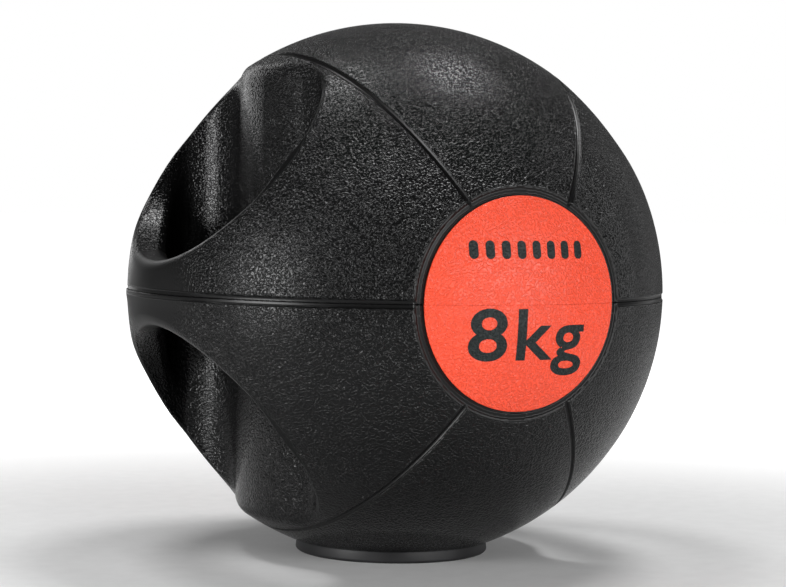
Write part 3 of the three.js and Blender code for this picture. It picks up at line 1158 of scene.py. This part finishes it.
@shared_group("Grain share")
def grain_share(name, sizes):
    """Depth of the grain: full on the skin and the core wall, less on the slots' end walls"""
    number = "NodeSocketFloat"
    tree, build, start, end = new_tree(
        name, "ShaderNodeTree",
        [
            ("Vector", "NodeSocketVector", None), ("Core Radius", number, sizes.core_radius),
            ("Ball Radius", number, BALL_RADIUS), ("Centre Height", number, CENTRE_Z),
            ("Wall Share", number, 0.5),
        ],
        [("Share", number)],
    )
    place = build.node("ShaderNodeSeparateXYZ", {0: start["Vector"]}).outputs
    across = build.length(place[0], place[1])
    from_middle = build.length(across, build.sub(place[2], start["Centre Height"]))
    on_skin = build.smooth(build.sub(from_middle, start["Ball Radius"]), -3.2 * MM, -1.8 * MM)
    on_core = build.smooth(build.sub(across, start["Core Radius"]), 4 * MM, 1 * MM)
    full = build.math("MAXIMUM", on_skin, on_core)
    build.feed(end["Share"], build.pick(full, 1.0, start["Wall Share"]))
    return tree


def mixed_colour(build, mask, first, second):
    mix = build.node("ShaderNodeMix", data_type="RGBA")
    build.feed(mix.inputs[0], mask)
    mix.inputs[6].default_value = (*first, 1)
    mix.inputs[7].default_value = (*second, 1)
    return mix.outputs[2]


def scaled(colour, factor):
    return tuple(min(1.0, channel * factor) for channel in colour)


def toned(build, mask, colour, dark, light):
    """A colour that runs from a darker to a lighter share of itself"""
    return mixed_colour(build, mask, scaled(colour, dark), scaled(colour, light))


def off_grooves(build, grooves, ring_width):
    """1 on open skin, 0 in the seams, the parting band and the disc rings"""
    off_seam = build.smooth(grooves["Seam"], -0.2 * MM, 0.5 * MM)
    off_ring = build.smooth(grooves["Ring"], ring_width + 0.3 * MM, ring_width + 1.6 * MM)
    return build.mul(off_seam, off_ring)


def rubber_relief(build, place, grooves, grained, finish, sizes):
    """Height of the pebbles, of the mould's fine lips and of the crease along the parting band"""
    grain = group_node(build, pebble_grain(), Vector=place, Size=finish.grain_size).outputs["Height"]
    share = group_node(build, grain_share(sizes), Vector=place).outputs[0]
    pebbles = build.mul(build.mul(grain, grained), share)
    lips = group_node(build, pressed_lips(), Seam=grooves["Seam"], Ring=grooves["Ring"],
                      Ring_Edge=sizes.ring_width).outputs[0]
    crease = group_node(build, parting_crease(), Vector=place, Offset=-sizes.parting_width / 2).outputs[0]
    lip_height = 0.5
    crease_depth = 2.0
    raised = build.add(pebbles, build.mul(lips, lip_height))
    return build.sub(raised, build.mul(crease, crease_depth))


def black_rubber(finish, sizes):
    """Moulded black rubber: pebbled on the panels and slot walls, smooth in grooves and on rims"""
    material, build, shader = material_with("Black pebbled rubber", Specular_IOR_Level=0.25)
    place = object_place(build)
    cloud = group_node(build, soft_cloud(), Vector=place, Size=55 * MM).outputs[0]
    rim = group_node(build, slot_edge(BallForm(sizes)), Vector=place).outputs["Distance"]
    off_rim = build.smooth(rim, 0.9 * MM, 2.0 * MM)
    on_rim = build.smooth(rim, 1.3 * MM, 0.7 * MM)
    off_grip = group_node(build, grip_face(), Vector=place).outputs[0]
    grooves = group_node(build, groove_distance(), Vector=place,
                         Seam_Width=sizes.seam_width, Parting_Width=sizes.parting_width).outputs
    open_skin = off_grooves(build, grooves, sizes.ring_width)
    grained = build.mul(build.mul(off_rim, off_grip), open_skin)
    height = rubber_relief(build, place, grooves, grained, finish, sizes)
    bump = build.node("ShaderNodeBump", {"Strength": 1.0, "Distance": finish.grain_depth, "Height": height})
    build.feed(shader.inputs["Normal"], bump.outputs[0])

    # Shiny pebbles, glossy rims, duller grips, and grooves in between
    duller = build.sub(build.mul(open_skin, 0.14), build.mul(on_rim, 0.24))
    smooth_rough = build.add(0.30, duller)
    grain_rough = build.add(0.07, build.mul(cloud, 0.05))
    build.feed(shader.inputs["Roughness"], build.pick(grained, grain_rough, smooth_rough))
    build.feed(shader.inputs["Base Color"], toned(build, cloud, finish.rubber_colour, 0.85, 1.25))
    return material


def disc_rubber(finish):
    """Coloured disc rubber with the same pebbles, a little shallower, with painted shade in the gaps
    between them
    """
    material, build, shader = material_with("Coloured pebbled rubber", Specular_IOR_Level=0.32)
    place = object_place(build)
    grain = group_node(build, pebble_grain(), Vector=place, Size=finish.grain_size)
    cloud = group_node(build, soft_cloud(), Vector=place, Size=30 * MM).outputs[0]
    bump = build.node("ShaderNodeBump", {
        "Strength": 0.9, "Distance": finish.grain_depth, "Height": grain.outputs["Height"],
    })
    build.feed(shader.inputs["Normal"], bump.outputs[0])
    build.feed(shader.inputs["Roughness"], build.add(0.2, build.mul(cloud, 0.08)))
    # Painted shade: darker in the gaps between the pebbles and lighter on their tops, mixed with broad
    # random tone from the cloud
    gap_shade_and_tone = build.add(build.mul(grain.outputs["Tops"], 0.75), build.mul(cloud, 0.25))
    build.feed(shader.inputs["Base Color"], toned(build, gap_shade_and_tone, finish.disc_colour, 0.84, 1.04))
    return material


def mark_ink(finish):
    """Dark ink that follows the disc's pebbles, with painted shade: darker in the gaps between them and
    lighter on their tops
    """
    material, build, shader = material_with("Dark mark ink", Specular_IOR_Level=0.25)
    place = object_place(build)
    grain = group_node(build, pebble_grain(), Vector=place, Size=finish.grain_size)
    bump = build.node("ShaderNodeBump", {
        "Strength": 0.8, "Distance": finish.grain_depth, "Height": grain.outputs["Height"],
    })
    build.feed(shader.inputs["Normal"], bump.outputs[0])
    build.feed(shader.inputs["Roughness"], build.add(0.38, build.mul(grain.outputs["Tops"], 0.08)))
    # Painted shade: the ink is darker in the gaps between the pebbles and lighter on their tops
    tone = toned(build, grain.outputs["Tops"], finish.mark_colour, 0.7, 1.3)
    build.feed(shader.inputs["Base Color"], tone)
    return material


def plain_rubber(name, colour, rough, speck=0.35 * MM, patch=25 * MM):
    """Smooth moulded rubber or plastic: a faint orange-peel skin and scuffed patches"""
    material, build, shader = material_with(name, Specular_IOR_Level=0.3)
    place = object_place(build)
    cloud = group_node(build, soft_cloud(), Vector=place, Size=patch).outputs[0]
    peel = build.node("ShaderNodeTexNoise", {
        "Vector": place, "Scale": 1 / speck, "Detail": 2.0, "Roughness": 0.6,
    }).outputs[0]
    bump = build.node("ShaderNodeBump", {"Strength": 0.35, "Distance": 0.03 * MM, "Height": peel})
    build.feed(shader.inputs["Normal"], bump.outputs[0])
    build.feed(shader.inputs["Roughness"], build.add(rough, build.mul(cloud, 0.12)))
    build.feed(shader.inputs["Base Color"], toned(build, cloud, colour, 0.85, 1.2))
    return material


def granulate(finish):
    """Loose sand and rubber crumb"""
    material, build, shader = material_with("Ballast granulate", Specular_IOR_Level=0.3)
    place = object_place(build)
    crumbs = build.node("ShaderNodeTexVoronoi", {"Vector": place, "Scale": 1 / (1.8 * MM)})
    size = build.node("ShaderNodeMapRange", {0: crumbs.outputs["Distance"], 3: 1.0, 4: 0.0})
    bump = build.node("ShaderNodeBump", {"Strength": 1.0, "Distance": 0.6 * MM, "Height": size.outputs[0]})
    build.feed(shader.inputs["Normal"], bump.outputs[0])
    pick = build.node("ShaderNodeSeparateColor", {0: crumbs.outputs["Color"]}).outputs[0]
    tone = mixed_colour(build, build.smooth(pick, 0.25, 0.6), finish.grit_colour, finish.sand_colour)
    build.feed(shader.inputs["Base Color"], tone)
    build.feed(shader.inputs["Roughness"], build.add(0.8, build.mul(pick, 0.15)))
    return material


# ---------------------------------------------------------------------------
# Operators: one for each piece or group of like pieces


def settings(context):
    scene = context.scene
    return scene.medball_sizes, scene.medball_finish, scene.medball_detail


class MEDBALL_OT_shells(bpy.types.Operator):
    """Mould the two black rubber halves, with their hand slots, grips and pressed grooves"""

    bl_idname = "medball.shells"
    bl_label = "Rubber shells"

    def execute(self, context):
        sizes, finish, detail = settings(context)
        form = BallForm(sizes)
        material = black_rubber(finish, sizes)
        for half in ("upper", "lower"):
            mesh = shell_mesh(form, half, detail)
            add_piece(f"{half}_shell_moulded", mesh, material, "black_rubber", [f"{half}_shell"])
        return {"FINISHED"}


class MEDBALL_OT_discs(bpy.types.Operator):
    """Press the four half discs of coloured rubber"""

    bl_idname = "medball.discs"
    bl_label = "Coloured discs"

    def execute(self, context):
        sizes, finish, _ = settings(context)
        material = disc_rubber(finish)
        tree = half_disc_tree()
        for side, facing in (("front", -1.0), ("back", 1.0)):
            for half, upper in (("upper", 1.0), ("lower", 0.0)):
                name = f"{side}_disc_{half}_pressed"
                mesh = run_tree(name, tree, {
                    "Thickness": sizes.disc_thickness, "Facing": facing,
                    "Upper": upper, "Material": material,
                })
                cleaned(mesh)
                add_piece(name, mesh, material, "disc_rubber", [f"{side}_disc_{half}"])
        return {"FINISHED"}


class MEDBALL_OT_marks(bpy.types.Operator):
    """Lay the row of load pips and the plain weight on both discs"""

    bl_idname = "medball.marks"
    bl_label = "Disc marks"

    def execute(self, context):
        sizes, finish, _ = settings(context)
        ink = mark_ink(finish)
        pips = run_tree("pip_row", pip_row_tree(), {"Material": ink})
        weight = weight_outline("8kg", sizes.weight_width, sizes.digit_height, sizes.weight_bottom)
        for side, facing in (("front", -1.0), ("back", 1.0)):
            for label, outline in (("load_pips", pips), ("weight_mark", weight)):
                name = f"{side}_{label}"
                mesh = wrapped_slab(name, outline, facing, sizes.mark_height)
                add_piece(name, mesh, ink, "black_rubber")
        return {"FINISHED"}


class MEDBALL_OT_foot(bpy.types.Operator):
    """Mould the smooth foot"""

    bl_idname = "medball.foot"
    bl_label = "Foot"

    def execute(self, context):
        _, finish, _ = settings(context)
        material = plain_rubber("Smooth foot rubber", finish.foot_colour, 0.42)
        add_piece("foot_pad_moulded", foot_mesh(), material, "foot_rubber", ["foot_pad"])
        return {"FINISHED"}


class MEDBALL_OT_valve(bpy.types.Operator):
    """Fit the needle valve in the back of the upper half"""

    bl_idname = "medball.valve"
    bl_label = "Valve"

    def execute(self, context):
        _, finish, _ = settings(context)
        boot = plain_rubber("Valve boot rubber", finish.foot_colour, 0.45)
        nylon = plain_rubber("Valve nylon", finish.nylon_colour, 0.3, speck=0.2 * MM)
        for mesh, material, slot, node in (
            (valve_boot_mesh(), boot, "foot_rubber", "valve_boot"),
            (valve_core_mesh(), nylon, "valve_plastic", "valve_core"),
        ):
            mesh.transform(VALVE.turn())
            add_piece(f"{node}_moulded", mesh, material, slot, [node])
        return {"FINISHED"}


class MEDBALL_OT_inside(bpy.types.Operator):
    """Give the pieces inside the ball their finish"""

    bl_idname = "medball.inside"
    bl_label = "Pieces inside"

    def execute(self, context):
        _, finish, _ = settings(context)
        materials = {
            "bladder": plain_rubber("Bladder rubber", finish.bladder_colour, 0.6),
            "filler_plug": plain_rubber("Plug rubber", finish.foot_colour, 0.5),
            "ballast_fill": granulate(finish),
        }
        for node, material in materials.items():
            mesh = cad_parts[node].data
            mesh.materials.clear()
            mesh.materials.append(material)
        return {"FINISHED"}


# ---------------------------------------------------------------------------
# Stage


CAMERA_TURN = math.radians(27.3)
CAMERA_RISE = math.radians(2.7)
CAMERA_ROLL = math.radians(0.9)
CAMERA_DISTANCE = 1.173
CAMERA_LENS = 103.9
AIM_LEFT = 1.0 * MM
AIM_DOWN = 1.4 * MM


def add_camera():
    """Camera a little above the ball's middle, turned towards the left grip"""
    away = Vector((
        -math.sin(CAMERA_TURN) * math.cos(CAMERA_RISE),
        -math.cos(CAMERA_TURN) * math.cos(CAMERA_RISE),
        math.sin(CAMERA_RISE),
    ))
    right = Vector((math.cos(CAMERA_TURN), -math.sin(CAMERA_TURN), 0))
    up = away.cross(right)
    turned_right = right * math.cos(CAMERA_ROLL) + up * math.sin(CAMERA_ROLL)
    turned_up = up * math.cos(CAMERA_ROLL) - right * math.sin(CAMERA_ROLL)
    middle = Vector((0, 0, CENTRE_Z))
    place = middle + away * CAMERA_DISTANCE - turned_right * AIM_LEFT - turned_up * AIM_DOWN
    data = bpy.data.cameras.new("camera")
    data.lens = CAMERA_LENS
    data.sensor_width = 36
    data.clip_end = 50
    camera = bpy.data.objects.new("camera", data)
    bpy.context.scene.collection.objects.link(camera)
    turn = Matrix((turned_right, turned_up, away)).transposed().to_4x4()
    camera.matrix_world = Matrix.Translation(place) @ turn
    bpy.context.scene.camera = camera


def add_softbox(name, turn, rise, distance, size, watts):
    """A rectangular soft light aimed at the ball.

    turn is measured in degrees from the camera's side round to its right, rise upwards from level.
    """
    data = bpy.data.lights.new(name, "AREA")
    data.shape = "RECTANGLE"
    data.size, data.size_y = size
    data.energy = watts
    light = bpy.data.objects.new(name, data)
    bpy.context.scene.collection.objects.link(light)
    around = math.radians(turn) - CAMERA_TURN
    up = math.radians(rise)
    along = Vector((math.sin(around) * math.cos(up), -math.cos(around) * math.cos(up), math.sin(up)))
    place = Vector((0, 0, CENTRE_Z)) + along * distance
    light.matrix_world = Matrix.Translation(place) @ along.to_track_quat("Z", "Y").to_matrix().to_4x4()


def add_floor():
    """A wide pale floor that fades into the pale background"""
    underside = -4 * MM
    wide = 12
    mesh = lathe_mesh("floor", [(0, underside), (wide, underside), (wide, 0), (0, 0)])
    floor = bpy.data.objects.new("floor", mesh)
    bpy.context.scene.collection.objects.link(floor)
    material, build, shader = material_with("Pale floor", Roughness=0.7)
    place = object_place(build)
    parts = build.node("ShaderNodeSeparateXYZ", {0: place}).outputs
    far = build.smooth(build.length(parts[0], parts[1]), 0.18, 0.9)
    seen = build.node("ShaderNodeLightPath").outputs["Is Camera Ray"]
    speckle = build.node("ShaderNodeTexNoise", {"Vector": place, "Scale": 90.0, "Detail": 3.0}).outputs[0]
    bounce = 0.75
    lit = build.pick(seen, 1.0, bounce)
    paint = build.mul(lit, build.smooth(speckle, 0.0, 1.0, 0.80, 0.86))
    grey = build.node("ShaderNodeCombineColor", {0: paint, 1: paint, 2: paint}).outputs[0]
    build.feed(shader.inputs["Base Color"], grey)
    shader.inputs["Emission Color"].default_value = (1, 1, 1, 1)
    build.feed(shader.inputs["Emission Strength"], build.mul(far, seen))
    mesh.materials.append(material)


def set_world():
    """White behind the ball, dim grey all round it"""
    world = bpy.data.worlds.new("studio")
    world.use_nodes = True
    bpy.context.scene.world = world
    build = TreeBuilder(world.node_tree)
    world.node_tree.nodes.clear()
    seen = build.node("ShaderNodeLightPath").outputs["Is Camera Ray"]
    room_light = 0.11
    strength = build.pick(seen, 1.0, room_light)
    background = build.node("ShaderNodeBackground", {"Color": (1, 1, 1, 1), "Strength": strength})
    output = build.node("ShaderNodeOutputWorld")
    build.feed(output.inputs["Surface"], background.outputs[0])


# Name, turn and rise in degrees, distance, size, watts
SOFTBOXES = (
    ("top", 138, 69, 1.3, (0.42, 0.36), 7.5),
    ("left", -52, 2, 1.3, (0.5, 0.65), 16),
    ("left_top", -121, 72, 1.3, (0.4, 0.4), 5.5),
    ("right_fill", 46, 6, 1.5, (1.2, 0.8), 19),
    ("right_rim", 132, 12, 1.3, (0.4, 0.8), 0.6),
    ("left_rim", -150, 14, 1.3, (0.4, 0.8), 1.4),
)


class MEDBALL_OT_stage(bpy.types.Operator):
    """Set the camera, the pale floor and the soft studio lights"""

    bl_idname = "medball.stage"
    bl_label = "Studio"

    def execute(self, context):
        add_camera()
        add_floor()
        set_world()
        for softbox in SOFTBOXES:
            add_softbox(*softbox)
        context.scene.view_settings.view_transform = "Standard"
        return {"FINISHED"}


class MEDBALL_PT_panel(bpy.types.Panel):
    """Lists the steps that build the ball"""

    bl_idname = "MEDBALL_PT_panel"
    bl_label = "Medicine ball"
    bl_space_type = "VIEW_3D"
    bl_region_type = "UI"
    bl_category = "Medicine ball"

    def draw(self, context):
        layout = self.layout
        for group in settings(context):
            for name in group.bl_rna.properties.keys():
                if name not in ("rna_type", "name"):
                    layout.prop(group, name)
        for step in STEPS:
            layout.operator(step.bl_idname)


STEPS = (
    MEDBALL_OT_shells,
    MEDBALL_OT_discs,
    MEDBALL_OT_marks,
    MEDBALL_OT_foot,
    MEDBALL_OT_valve,
    MEDBALL_OT_inside,
    MEDBALL_OT_stage,
)
GROUPS = {
    "medball_sizes": MEDBALL_PG_sizes,
    "medball_finish": MEDBALL_PG_finish,
    "medball_detail": MEDBALL_PG_detail,
}
CLASSES = (*GROUPS.values(), *STEPS, MEDBALL_PT_panel)


def register():
    for cls in CLASSES:
        bpy.utils.register_class(cls)
    for name, group in GROUPS.items():
        setattr(bpy.types.Scene, name, bpy.props.PointerProperty(type=group))


def unregister():
    for name in GROUPS:
        delattr(bpy.types.Scene, name)
    for cls in reversed(CLASSES):
        bpy.utils.unregister_class(cls)


def main():
    register()
    for step in STEPS:
        group, name = step.bl_idname.split(".")
        getattr(getattr(bpy.ops, group), name)()


if __name__ == "__main__":
    main()
